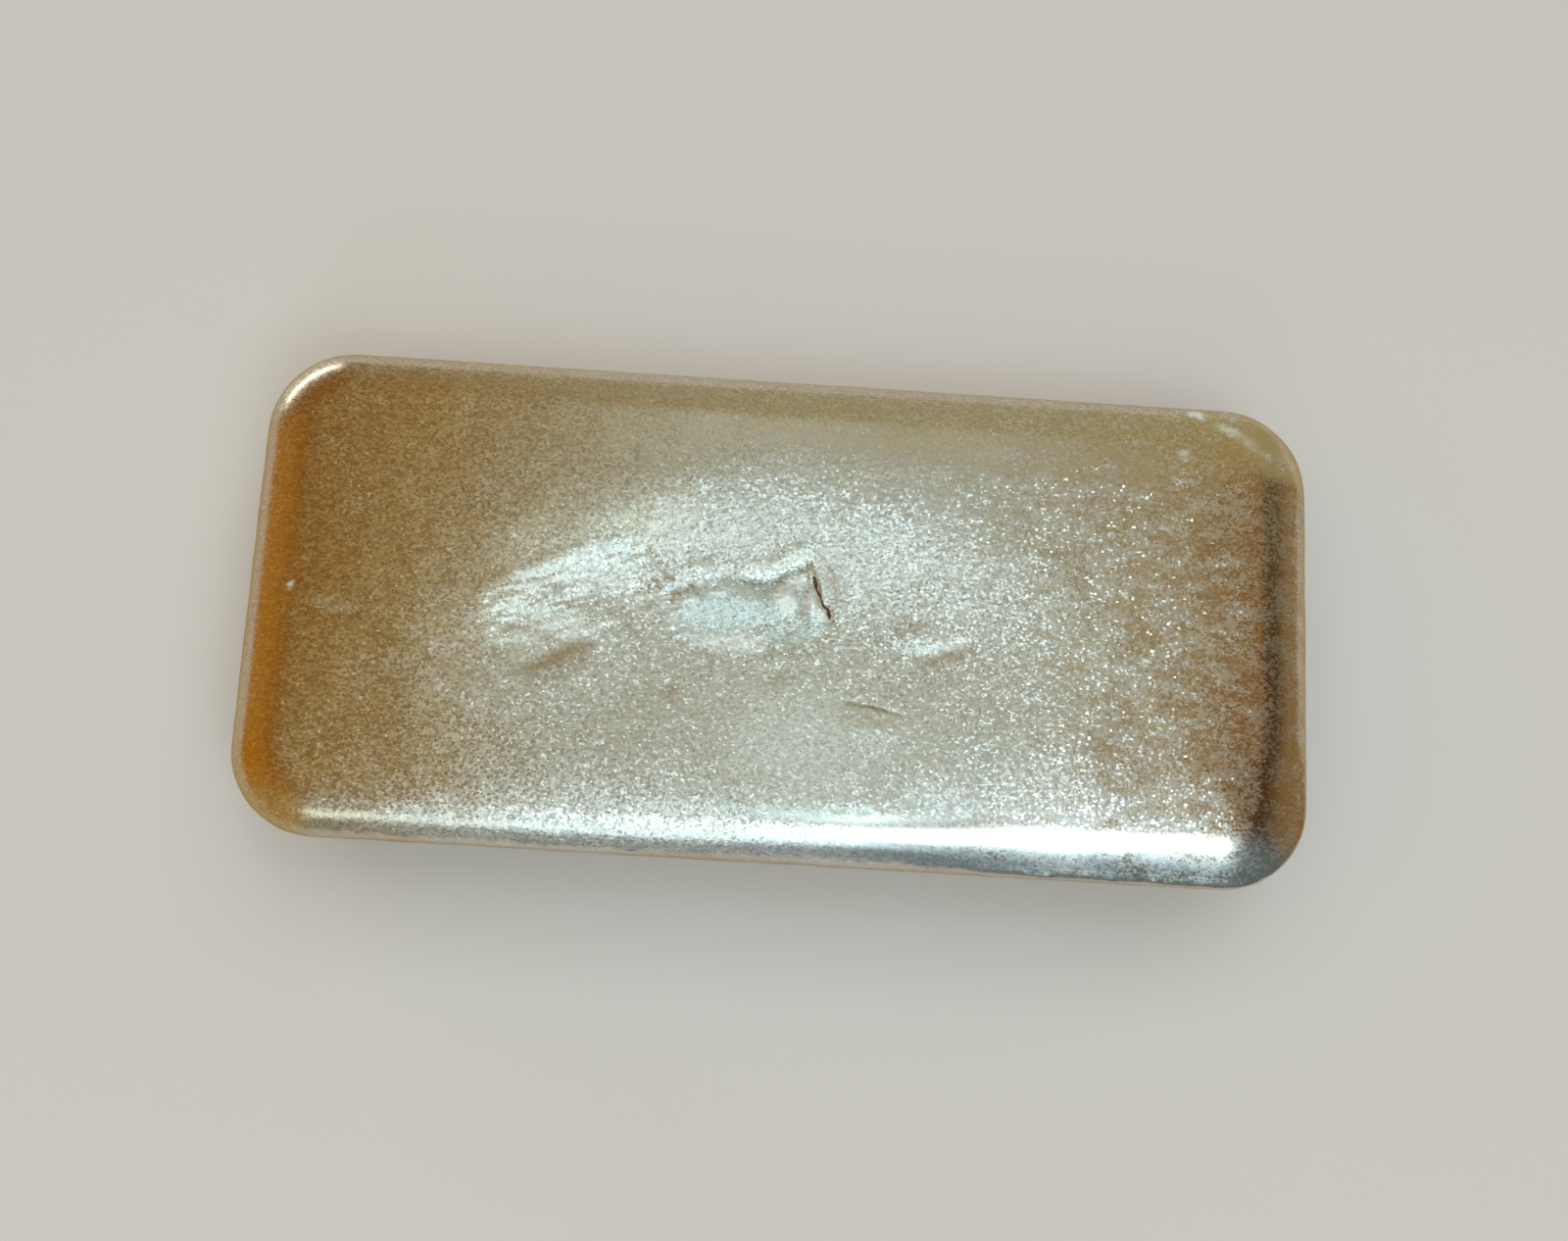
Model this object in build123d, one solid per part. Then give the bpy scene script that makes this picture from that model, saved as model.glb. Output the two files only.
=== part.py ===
# A small tin ingot, cast in an open mould and lying with its open face up.
# It is one solid bar: four drafted walls, rounded corners, a rounded lip round the open face,
# and a shallow dish with a torn shrinkage hollow where the last metal froze.
# Millimetres, +Z up. The origin is the middle of the mould face, on which the ingot rests.
# X runs along the ingot and Y across it.
from build123d import *
import os
from math import atan2, cos, degrees, radians, tan

# Overall size, measured over the lip of the open face, which is wider than the mould face
ingot_length = 88.0
ingot_width = 41.5
ingot_height = 19.8

# Mould shape
draft_angle = 15.0  # slope of all four walls from upright, which lets the ingot drop out
corner_radius = 8.0  # corners seen from above, at the top of the walls
lip_rounding = 2.8  # rounded edge of the open face, drawn down as the metal froze
foot_rounding = 2.5  # rounded edge of the mould face

# Shallow dish that the shrinking metal left in the open face
dish_length = 52.0
dish_width = 27.0
dish_depth = 0.7
dish_shift = -3.0  # along the ingot

# Torn hollow in the dish, deepest under its far lip and running out towards the near side
hollow_length = 14.5
hollow_width = 8.4
hollow_depth = 1.5  # below the open face, at the far lip
hollow_shift = -3.2  # along the ingot
hollow_offset = 0.5  # across the ingot, towards the far side
hollow_slope = 8.0  # degrees that its floor rises towards the near side

# The corner of the lip that was knocked flat, at the right end of the far side
worn_along = 11.0  # from the right end to where the flat starts on the far side
worn_across = 6.4  # from the far side to where the flat starts on the right end
worn_slope = 18.0  # degrees below the open face


def drafted_block():
    """Rounded block that widens upwards, from the mould face to the open face."""
    draft = radians(draft_angle)
    # A rounded lip on an outward wall stops short of the sharp edge that it replaces
    lip_inset = lip_rounding * (tan(draft) + 1 / cos(draft) - 1)
    wall_run = ingot_height * tan(draft)
    foot_length = ingot_length + 2 * lip_inset - 2 * wall_run
    foot_width = ingot_width + 2 * lip_inset - 2 * wall_run
    foot_corner = max(corner_radius - wall_run, corner_radius / 8)
    foot = RectangleRounded(foot_length, foot_width, foot_corner)
    return extrude(foot, ingot_height, taper=-draft_angle)


def round_edges(block):
    """Rounds the lip of the open face and the edge of the mould face."""
    lip_edges = block.faces().sort_by(Axis.Z)[-1].edges()
    block = fillet(lip_edges, lip_rounding)
    foot_edges = block.faces().sort_by(Axis.Z)[0].edges()
    return fillet(foot_edges, foot_rounding)


def dish_cutter():
    """Shallow bowl, curved more tightly across the ingot than along it."""
    half_length = dish_length / 2
    bowl_radius = (half_length ** 2 + dish_depth ** 2) / (2 * dish_depth)
    bowl = Sphere(bowl_radius)
    bowl = scale(bowl, by=(1, dish_width / dish_length, 1))
    return Pos(dish_shift, 0, ingot_height + bowl_radius - dish_depth) * bowl


def hollow_cutter():
    """Oval plug whose sloping end is the floor of the torn hollow."""
    slope = radians(hollow_slope)
    oval = Ellipse(hollow_length / 2, hollow_width / 2 / cos(slope))
    plug = extrude(oval, ingot_height)
    floor_middle = ingot_height - hollow_depth + hollow_width / 2 * tan(slope)
    return Pos(hollow_shift, hollow_offset, floor_middle) * Rot(X=-hollow_slope) * plug


def worn_corner_cutter():
    """Block whose lower face shears the far right corner of the lip."""
    reach = 2 * max(worn_along, worn_across)
    side = Box(reach, reach, ingot_height, align=(Align.MIN, Align.CENTER, Align.MIN))
    middle = Pos((ingot_length - worn_along) / 2, (ingot_width - worn_across) / 2, ingot_height)
    facing = degrees(atan2(worn_along, worn_across))
    return middle * Rot(Z=facing) * Rot(Y=worn_slope) * side


def make_ingot():
    ingot = round_edges(drafted_block())
    ingot = ingot - dish_cutter()
    ingot = ingot - hollow_cutter()
    return ingot - worn_corner_cutter()


ingot = make_ingot()
ingot.label = "ingot"
os.makedirs("parts", exist_ok=True)
export_step(ingot, "parts/ingot.step")
print("volume", round(ingot.volume / 1000, 2), "cm3")
print("box", ingot.bounding_box())
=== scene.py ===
import itertools
import math

import bpy
import numpy as np
from mathutils import Matrix, Vector


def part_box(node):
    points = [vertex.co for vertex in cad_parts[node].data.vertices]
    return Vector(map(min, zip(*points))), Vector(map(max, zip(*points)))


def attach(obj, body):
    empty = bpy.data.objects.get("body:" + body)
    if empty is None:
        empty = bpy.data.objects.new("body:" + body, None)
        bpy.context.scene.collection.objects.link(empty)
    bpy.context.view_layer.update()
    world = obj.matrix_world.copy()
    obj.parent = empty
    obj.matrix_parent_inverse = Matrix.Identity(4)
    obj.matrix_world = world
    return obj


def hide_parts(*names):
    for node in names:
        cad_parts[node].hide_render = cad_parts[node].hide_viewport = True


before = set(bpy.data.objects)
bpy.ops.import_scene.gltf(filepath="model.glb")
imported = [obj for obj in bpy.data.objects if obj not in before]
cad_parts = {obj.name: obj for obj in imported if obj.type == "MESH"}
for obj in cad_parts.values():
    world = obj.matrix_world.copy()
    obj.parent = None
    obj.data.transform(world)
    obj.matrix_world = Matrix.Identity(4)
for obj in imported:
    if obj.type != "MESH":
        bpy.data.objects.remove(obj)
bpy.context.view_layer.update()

metresPerMillimetre = 0.001

# Shapes are worked out in millimetres, X along the ingot, Y across it and Z up.
# They go into the mesh in metres.
lowCorner, highCorner = (np.array(corner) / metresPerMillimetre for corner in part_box("ingot"))
barLength, barWidth, barHeight = highCorner - lowCorner
print("frame loaded, ingot", np.round([barLength, barWidth, barHeight], 2), "mm")


tiny = 1e-12  # keeps a division by a length of zero harmless


# Eases from 0 to 1 between two values: 3t^2 - 2t^3
def ease(low, high, value):
    part = np.clip((value - low) / (high - low), 0, 1)
    return part * part * (3 - 2 * part)


# Something that sets in between two values and gets as strong as a third: strength * ease
def setIn(step, value):
    start, end, strength = step
    return strength * ease(start, end, value)


# A soft hump: exp(-(distance / reach)^2)
def hump(distance, reach=1):
    return np.exp(-((distance / reach) ** 2))


# Distance from a middle, as a share of how far something reaches along and across the bar
def shareOut(x, y, middle, reach):
    return np.hypot((x - middle[0]) / reach[0], (y - middle[1]) / reach[1])


# A lattice corner's chance value is the fraction of sin(corner . mix) * stretch
chanceLattice = {"mix": np.array([127.1, 311.7, 74.7]), "stretch": 43758.5453, "seedShift": 17.31}


# Smooth noise from -1 to 1: a chance value at each corner of a lattice, blended across its cells
def softNoise(points, cell, seed):
    spot = points / cell + chanceLattice["seedShift"] * seed
    corner = np.floor(spot)
    part = ease(0, 1, spot - corner)
    total = np.zeros(points.shape[:-1])
    for step in itertools.product((0, 1), repeat=3):
        chance = np.sin((corner + step) @ chanceLattice["mix"]) * chanceLattice["stretch"]
        weight = np.prod(np.where(step, part, 1 - part), axis=-1)
        total += weight * (2 * (chance - np.floor(chance)) - 1)
    return total


# Layers of smooth noise, each half as large and half as strong as the last
def layeredNoise(points, cell, seed, layers):
    total = sum(softNoise(points, cell / 2 ** layer, seed + layer) / 2 ** layer for layer in range(layers))
    return total / (2 - 2 ** (1 - layers))


# The noises of the casting: cell in millimetres, seed and layers
castNoises = {
    "swell": (11.0, 3, 3),
    "smallSwell": (3.6, 5, 3),
    "hollowEdge": (1.2, 11, 3),
    "strokeEdge": (1.2, 13, 3),
    "crackEdge": (0.9, 23, 3),
    "lobeStreaks": (0.55, 31, 3),
    "tornGrain": (0.5, 43, 2),
    "paleStreaks": (0.38, 67, 3),
    "pitStreaks": (0.9, 83, 3),
    "drift": (7.0, 71, 3),
    "peel": (0.75, 41, 2),
    "dents": (9.0, 47, 3),
    "lipWave": (7.0, 53, 3),
    "wornFlat": (1.1, 61, 1),
}


# One of these noises at each point
def castNoise(name, points):
    return layeredNoise(points, *castNoises[name])


# A smooth line through a few drawn points: a cubic between each two, with the slope of their neighbours
def drawnLine(points, closed=False, steps=8):
    points = np.array(points, float)
    if closed:
        points = np.vstack([points[-1:], points, points[:2]])
    else:
        points = np.vstack([2 * points[:1] - points[1:2], points, 2 * points[-1:] - points[-2:-1]])
    before, start, end, after = points[:-3], points[1:-2], points[2:-1], points[3:]
    t = (np.arange(steps) / steps)[:, None, None]
    line = start + t * (end - before) / 2
    line = line + t ** 2 * (before - 2.5 * start + 2 * end - after / 2)
    line = line + t ** 3 * (1.5 * start - before / 2 - 1.5 * end + after / 2)
    line = line.transpose(1, 0, 2).reshape(-1, 2)
    return line if closed else np.vstack([line, points[-2:-1]])


# Distance from each place to the nearest point of a line, and how far along the line that is, from 0 to 1
def besideLine(places, line, closed=False):
    ends = np.roll(line, -1, axis=0) if closed else line[1:]
    starts = line if closed else line[:-1]
    best = np.full(places.shape[:-1], np.inf)
    along = np.zeros(places.shape[:-1])
    for number, (start, end) in enumerate(zip(starts, ends)):
        run = end - start
        share = np.clip((places - start) @ run / max(run @ run, tiny), 0, 1)
        distance = np.linalg.norm(places - start - share[..., None] * run, axis=-1)
        nearer = distance < best
        best = np.where(nearer, distance, best)
        along = np.where(nearer, (number + share) / len(starts), along)
    return best, along


# Distance to a closed line, below zero inside it: the side comes from how often a ray to the right crosses it
def insideDistance(places, line):
    distance = besideLine(places, line, closed=True)[0]
    crossings = np.zeros(places.shape[:-1], int)
    for start, end in zip(line, np.roll(line, -1, axis=0)):
        spans = (start[1] > places[..., 1]) != (end[1] > places[..., 1])
        rise = end[1] - start[1] if end[1] != start[1] else tiny
        reach = start[0] + (places[..., 1] - start[1]) * (end[0] - start[0]) / rise
        crossings += spans & (places[..., 0] < reach)
    return np.where(crossings % 2 == 1, -distance, distance)


# The bar as cast: the sizes of its mould, and how finely it is drawn
barForm = {
    "cornerRadius": 7.15,  # seen from above, at the widest line of the lip
    "lipReach": 4.2,  # how far in from the widest line the lip starts to round over
    "lipDrop": 2.8,  # how far the lip falls to its widest line
    "footRadius": 2.5,
    "draft": math.radians(15),  # how far the walls lean outwards
    "skin": 0.10,  # the drawn surface stays this far inside the solid, and its relief uses the room
    "columns": 560,
    "faceRings": 84,
    "lipRings": 18,
    "wallRings": 42,
    "footRings": 7,
    "baseRings": 18,
    "faceSpread": (0.012, 0.42, 2.2),  # first ring, even share, and the power of the rest
    "baseClose": 0.985,  # how far the last ring of the base has closed
    "spineReach": 0.62,  # half length of the line where the rings of the face close, as a share of the bar's
    "spineCrowding": 2.2,  # extra columns near the hollow
    "spineCrowdingMiddle": -4.0,
    "spineCrowdingReach": 15.0,
    "spineSteps": 400,
    "lipWave": 0.05,  # how far the lip waves in and out,
    "lipSink": 0.02,  # and how far it sinks in all
    "wallFrom": (0.40, 1.0),  # the part of the lip's drop over which the mould's relief sets in
    "baseRelief": 0.6,  # of the walls' relief
    "peelStretch": (0.55, 0.55, 1.0),
    "peelHeight": 0.045,
    "dentHeight": 0.06,
}


# The bar's outline seen from above: a path round the four corner centres, and the way outwards.
# A ring at some inset from the widest line is the path plus (corner radius - inset) times the way outwards.
def outlineFrame(form, halfLength, halfWidth):
    radius = form["cornerRadius"]
    reachX, reachY = halfLength - radius, halfWidth - radius
    quarter = math.pi / 2 * radius
    lengths = np.array([reachY, quarter, 2 * reachX, quarter, 2 * reachY,
                        quarter, 2 * reachX, quarter, reachY])
    turns = np.cumsum([0, 0, 90, 0, 90, 0, 90, 0, 90, 0])
    corners = np.array([(1, 0), (1, 1), (1, 1), (-1, 1), (-1, 1),
                        (-1, -1), (-1, -1), (1, -1), (1, -1), (1, 0)])
    stops = np.concatenate([[0], np.cumsum(lengths)]) / lengths.sum()
    share = np.arange(form["columns"]) / form["columns"]
    angle = np.radians(np.interp(share, stops, turns))
    path = np.stack([np.interp(share, stops, corners[:, 0] * reachX),
                     np.interp(share, stops, corners[:, 1] * reachY)], axis=-1)
    outwards = np.stack([np.cos(angle), np.sin(angle)], axis=-1)
    return share, path, outwards


# Places along the middle line of the face for each column, closer together near the hollow
def spinePlaces(form, share, halfLength):
    reach = halfLength * form["spineReach"]
    x = np.linspace(-reach, reach, form["spineSteps"])
    density = 1 + form["spineCrowding"] * hump(x - form["spineCrowdingMiddle"], form["spineCrowdingReach"])
    count = np.concatenate([[0], np.cumsum((density[1:] + density[:-1]) / 2)])
    fromRight = 1 - np.abs(2 * share - 1)  # 0 at the right end's middle, 1 at the left end's
    return np.interp(1 - fromRight, count / count[-1], x)


# Rings of the surface, each as (inset from the widest line, height, pull to the middle line)
def ringSet(inset, level, pull=0.0):
    return np.stack(np.broadcast_arrays(inset, level, pull), axis=-1)


# The whole surface as rings, and the name of each one's zone. The lip is a quarter of an ellipse and then
# an arc, the foot is an arc, and both meet the sloping wall where they run the same way.
def barProfile(form, height):
    drop, foot, draft = form["lipDrop"], form["footRadius"], form["draft"]
    wallTurn = math.pi / 2 + draft
    inner = np.arange(form["faceRings"]) / form["faceRings"]
    first, even, power = form["faceSpread"]
    pull = 1 - (first + even * inner + (1 - first - even) * inner ** power)
    face = ringSet(form["lipReach"], height, pull)
    turns = np.linspace(0, wallTurn, form["lipRings"])
    reach = np.where(turns < math.pi / 2, form["lipReach"], drop)
    lip = ringSet(reach * (1 - np.sin(turns)), height - drop * (1 - np.cos(turns)))
    wallTop = lip[-1]
    footTop = foot + foot * math.cos(wallTurn)
    footInset = wallTop[0] + (wallTop[1] - footTop) * math.tan(draft)
    down = np.linspace(0, 1, form["wallRings"] + 2)[1:-1]
    wall = ringSet(wallTop[0] + down * (footInset - wallTop[0]), wallTop[1] + down * (footTop - wallTop[1]))
    centre = footInset + foot * math.sin(wallTurn)
    turns = np.linspace(wallTurn, math.pi, form["footRings"])
    footArc = ringSet(centre - foot * np.sin(turns), foot + foot * np.cos(turns))
    base = ringSet(centre, 0.0, np.linspace(0, form["baseClose"], form["baseRings"] + 1)[1:])
    parts = {"face": face, "lip": lip, "wall": wall, "foot": footArc, "base": base}
    rings = list(parts.values())
    return np.vstack(rings), np.repeat(list(parts), [len(part) for part in rings])


# Where the open face shrank and tore, in millimetres from its middle. Closed lines run round a hollow.
# Three numbers are mostly from where to where something sets in, and how strong it gets.
faceMarks = {
    "dish": {"middle": (-2.0, -2.5), "reach": (30.0, 14.5), "depth": 1.0},
    "crown": {
        "reach": 4.5,  # the face already leans down a little before the lip,
        "depth": 0.55,
        "least": 0.3,  # least at the left end,
        "rightwards": (-30, 30, 0.7),
        "nearSide": (-7, -13),  # and on the near side less on the left and more on the right
        "nearFlat": (24, 4, 0.85),
        "nearLean": [(12, 24, 0.75), (26, 36, 0.35)],
        "nearRise": (6, 8, 0.55),  # a less leaning stretch of the near side: middle, reach and strength
    },
    "swell": {"height": 0.09, "smallHeight": 0.022},
    "ragged": 0.13,  # how far the hollow's edges wander
    "pit": {
        "edge": [(-9.4, 1.4), (-8.7, 1.8), (-7.1, 2.7), (-5.2, 3.2), (-3.9, 2.95), (-2.4, 2.75), (-0.9, 2.9),
                 (0.4, 3.7), (1.3, 4.1), (2.0, 4.2), (2.5, 3.7), (2.7, 2.9), (2.9, 2.0), (3.3, 1.2),
                 (3.7, 0.5), (4.2, -0.3), (4.3, -1.6), (3.2, -3.2), (0.8, -4.4), (-2.5, -5.0), (-6.0, -4.8),
                 (-8.8, -3.4), (-10.0, -1.4), (-9.8, 0.4)],
        "nearSide": (1.0, -2.4),
        "leastSteep": 0.3,  # the far lip is steeper to the right,
        "steepening": (-5, -0.5, 0.7),
        "ridge": (-0.80, 0.65, 0.05),  # place inwards, half width and height of the ridge along the far lip
        "ridgeEnd": (0.8, 3.4, 0.95),
        "tear": (-0.40, 0.35, 0.16),  # how deep the far lip falls,
        "tearEnd": (1.2, 2.7, 0.95),
        "floor": (0.35, 2.3, -0.15),  # and how much it rises after that
        "nearWall": (-0.8, 4.6, 0.12),
        "torn": (-1.3, 0.2, 1.0),  # torn crystals, inwards and from the near side
        "tornFrom": (-5.2, -2.0),
        "skin": (-0.1, 1.6),  # pale skin, in the same way
        "skinFrom": (-5.2, -1.0),
        "skinShare": (0.8, 0.45),  # its strength and how much that varies
    },
    "lobe": {
        "edge": [(-23.8, 0.2), (-22.4, 1.0), (-20.5, 1.9), (-18.5, 2.9), (-16.6, 4.0), (-14.5, 4.6),
                 (-12.6, 4.9), (-11.3, 4.4), (-10.2, 3.0), (-9.3, 1.6), (-9.0, 0.0), (-10.5, -2.0),
                 (-13.5, -3.0), (-17.0, -3.6), (-20.5, -4.6), (-23.5, -4.4), (-24.9, -2.6), (-24.7, -0.8)],
        "nearSide": (0.6, -2.5),
        "roll": (-0.5, 0.7, 0.04),
        "floor": (0.0, 3.2, 0.13),
        "leastDeep": 0.3,  # the floor deepens to the right
        "deepening": (-23, -14, 0.7),
        "nearWall": (-0.5, 3.4, 0.15),
        "torn": (-1.2, 0.9, 0.5),
        "streaked": (0, 1.0, 0.035),
    },
    "tornGrain": 0.020,
    "haze": {"middle": (2.5, -11.5), "reach": (9.0, 5.5), "skin": 0.5, "pale": 0.36},  # fine pale crystals
    "hazeDrift": 0.3,
    "streakTurn": math.radians(20),  # torn crystals lie in streaks that climb to the right
    "streakStretch": 0.25,
    "streaks": {"count": 34, "from": (-24.0, -4.2), "to": (-6.0, 4.4), "length": (1.2, 3.2),
                "width": (0.14, 0.26), "turnSpread": math.radians(7), "bend": 0.08, "seed": 7,
                "strength": 0.9, "height": 0.035, "within": (-0.4, 0.6)},
    "paleShare": (0.5, -0.30, 0.35, 0.75),  # the least of a pale stroke, and how its streaks set in
    "lumps": [(0.2, 1.0, 0.85), (2.5, 0.5, 0.70)],  # smooth drops of metal in the pit: place and reach
    "lumpCalm": 0.85,
    "crack": {
        "line": [(0.7, 3.1), (1.5, 3.35), (2.2, 3.3), (2.55, 2.7), (2.7, 2.0), (3.05, 1.4), (3.3, 0.7),
                 (3.85, 0.1), (3.95, -1.1)],
        "ragged": 0.20,
        "starts": (0.05, 0.34),  # shares of its length
        "ends": (1.0, 0.90),
        "depth": 0.08,
        "halfWidth": 0.15,
        # half width of the crack's painted shade
        "darkHalfWidth": 0.13,
    },
}

# Where the face is frosted
faceFrost = {
    "leftLimit": (-42, -4),  # it grows towards the middle, from a line that slants and wanders,
    "leftBend": (0.25, 8),  # and that shifts with y by this much of it, up to this y
    "leftSlant": 0.15,
    "wander": 3,
    "rightLess": (6, 38, 0.55),  # thins out to the right,
    "rightSlant": 0.5,
    "behindLobe": {"across": (1, 7, 0.6), "from": (0, -13), "to": (-27, -18)},  # behind the lobe,
    "farSide": (17.0, 10.5),  # and towards the far side,
    "farWander": 1.5,
    "patchy": 0.15,
    "least": 0.15,
    "nearBand": {"across": (-13.0, -16.5, 0.45), "along": (-34, -6)},  # and lies before the near lip
}

# Where the skin is golden (oxide, and a painted warm reflection towards the ends), smooth, calm or mottled
skinPlaces = {
    "leftStraw": (13, 38),  # golden towards the left end,
    "leftSlant": 0.15,
    "rightStraw": (16, 42, 0.75),  # less so towards the right one,
    "rightClear": {"across": (-12, -16.5, 0.8), "along": (41.5, 38)},
    "farStraw": (10, 18, 0.12),  # and a little along the far side
    "nearClear": {"across": (-15.0, -18.5, 0.75), "along": (-41, -35)},
    "lipShine": (4.4, 2.0),  # the lip is smooth, in from its widest line by this much,
    "shineFrom": (-14, -4),
    "shineSlant": (0.4, -30),  # from a line that slants to the left of a place,
    "rightDull": (30, 38, 0.6),  # and less so to the right
    "nearCalm": {"inset": (5.6, 3.2), "across": (-10, -14), "along": (-6, 12)},
    "endCalm": {"inset": (5.2, 4.0), "along": (36, 39)},
    "mottle": (10, 26),
}

# Lines that both a fold and its painted shade follow
leftNick = [(-9.9, -7.7), (-9.1, -7.2), (-8.4, -6.6)]
rightFold = [(10.6, -3.4), (12.5, -3.3), (14.4, -2.5), (16.3, -1.7)]
nearFurrow = [(4.9, -7.5), (6.4, -7.6), (8.0, -7.8), (9.4, -8.2), (10.4, -8.3)]

# Narrow folds and furrows: drawn points, depth (below zero stands up) and half width
faceFolds = [
    ([(-11.9, 4.8), (-11.1, 3.8), (-9.9, 2.5), (-8.8, 1.8)], 0.05, 0.40),
    ([(-23.6, 0.6), (-20.6, 2.0), (-17.6, 3.4), (-15.0, 4.5), (-12.6, 4.9)], -0.05, 0.60),
    ([(-22.0, -7.2), (-19.8, -6.5), (-18.0, -5.5), (-16.9, -4.7), (-15.4, -4.0)], 0.07, 1.10),
    (leftNick, 0.05, 0.55),
    ([(-1.6, -6.2), (-0.3, -5.4), (1.0, -4.6)], 0.05, 0.70),
    (rightFold, 0.08, 0.55),
    (nearFurrow, 0.06, 0.22),
]

# Painted shade, brown, along the folds, beside the crack and in the knocked corner's crease: drawn points,
# half width and how dark it is
foldShadeStrokes = [
    ([(-11.7, 4.5), (-11.1, 3.8), (-9.9, 2.5), (-8.8, 1.8)], 0.20, 0.30),
    ([(-22.6, -6.9), (-19.8, -6.1), (-18.0, -5.1), (-16.7, -4.3), (-14.6, -3.8)], 0.80, 0.68),
    ([(-17.4, -4.5), (-16.2, -4.0), (-14.8, -3.8)], 0.50, 0.65),
    (leftNick, 0.40, 0.30),
    (rightFold, 0.35, 0.30),
    (nearFurrow, 0.12, 0.75),
    ([(3.3, 4.4), (3.9, 3.2), (4.4, 1.8), (4.9, 0.2)], 0.60, 0.25),
    ([(39.3, 17.2), (40.3, 16.2), (41.2, 14.8)], 0.70, 0.40),
]

# Painted shade, greenish grey: under the pit's far ridge, beside and between its lumps, at its left side and
# in
# the near furrow: drawn points, half width and strength
paintedShadeStrokes = [
    ([(-5.6, 2.8), (-3.8, 2.5), (-2.3, 2.3), (-0.7, 2.5), (0.6, 3.2), (1.7, 3.6), (2.5, 3.2)], 0.42, 0.85),
    ([(-1.7, 2.4), (-1.4, 1.4), (-1.3, 0.2)], 0.45, 0.4),
    ([(-9.6, 1.4), (-9.4, 0.2), (-9.2, -1.6), (-8.2, -3.2)], 0.70, 0.12),
    ([(1.2, 2.0), (1.35, 0.9), (1.45, -0.4)], 0.20, 0.25),
    ([(5.2, -7.5), (6.4, -7.6), (8.0, -7.8), (9.2, -8.1)], 0.13, 1.0),
]

# Strokes of chalky torn crystals, and painted highlights on the pit's far ridge, its lumps and the knocked
# corner: drawn points, half width and how pale they are
paleStrokes = [
    ([(-24.0, 0.3), (-20.8, 1.9), (-17.8, 3.3), (-15.0, 4.6), (-12.2, 5.0)], 0.45, 0.9),
    ([(-17.6, 2.2), (-15.6, 2.3), (-13.6, 1.7), (-12.0, 0.8)], 1.15, 1.6),
    ([(-25.2, -1.8), (-22.0, -1.5), (-19.4, -2.0), (-16.8, -2.6), (-13.6, -2.4)], 1.10, 0.95),
    ([(-24.6, -3.6), (-21.5, -3.9), (-19.0, -3.6)], 0.80, 0.7),
    ([(-8.0, 2.6), (-6.8, 3.0), (-5.6, 3.4)], 0.95, 0.8),
    ([(-4.0, 3.5), (-2.4, 3.3), (-0.8, 3.5), (0.5, 4.3), (1.7, 4.7), (2.7, 4.9)], 0.48, 2.4),
    ([(-9.8, 0.9), (-9.4, -0.6), (-9.0, -2.2)], 0.80, 0.5),
    ([(-14.4, 0.7), (-12.2, -0.3), (-10.2, -1.3)], 0.90, 0.5),
    ([(-8.4, -2.6), (-5.4, -3.1), (-3.2, -3.0), (-0.8, -2.6)], 0.75, 1.1),
    ([(-0.8, 2.0), (0.0, 1.2), (0.5, 0.3), (0.9, -0.6)], 0.70, 1.3),
    ([(1.7, 1.4), (2.5, 0.6), (3.2, -0.1), (3.6, -0.9)], 0.55, 1.3),
    ([(-0.2, 2.6), (1.0, 2.7), (2.2, 2.8)], 0.50, 1.0),
    ([(33.7, 20.1), (35.1, 19.3)], 0.38, 1.8),
    ([(35.2, 19.2), (38.0, 17.6), (41.0, 15.6)], 0.45, 0.6),
    ([(40.1, 16.6), (40.6, 15.4)], 0.25, 0.8),
    ([(32.8, 16.0), (33.5, 14.9)], 0.45, 0.9),
    ([(-40.2, -0.3), (-39.9, -0.9)], 0.22, 0.9),
    ([(-38.6, -1.4), (-36.4, -2.2), (-34.4, -2.4)], 0.55, 0.22),
    ([(13.2, -1.8), (14.6, -2.2), (16.4, -2.0)], 0.60, 0.35),
    ([(22.5, -3.3), (27.0, -3.3), (32.0, -3.0), (38.6, -2.6)], 0.12, 0.35),
]

# Low bumps: place, height and reach along and across
faceBumps = [
    (0.2, 1.3, 0.17, 0.95, 0.95),
    (2.5, 0.7, 0.15, 0.75, 0.80),
    (-21.8, -0.4, 0.09, 3.4, 2.4),
    (-14.0, 3.2, 0.06, 2.4, 1.0),
    (-6.2, 3.0, 0.10, 1.3, 0.9),
    (11.2, -1.5, 0.09, 1.6, 0.9),
    (-40.1, 0.1, -0.14, 0.5, 0.4),
    (8.0, -9.6, 0.07, 2.2, 0.7),
]

# The knocked corner of the lip: two places on the crease where its flat starts, how far below the face,
# its fall, how rough it is, and how far before the crease it may already cut
wornCorner = {"start": (34.4, 19.9), "end": (41.6, 15.1), "below": 0.55, "fall": math.radians(23),
              "rough": 0.04, "from": -1.0}

# Strokes wander by a share of their width, and fade over a share of their length at each end
strokeForm = {"wander": 0.25, "fade": 0.25}


# A soft stroke beside a drawn line, broken by noise: a hump of the distance, fading out at both ends
def softStroke(places, points, drawn, width):
    gap, share = besideLine(places, drawnLine(drawn))
    stroke = hump(gap + strokeForm["wander"] * width * castNoise("strokeEdge", points), width)
    return stroke * ease(0, strokeForm["fade"], share) * ease(1, 1 - strokeForm["fade"], share)


# The strongest of several strokes at each place
def strokesTogether(places, points, strokes):
    together = np.zeros(places.shape[:-1])
    for drawn, width, strength in strokes:
        together = np.maximum(together, strength * softStroke(places, points, drawn, width))
    return together


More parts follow.
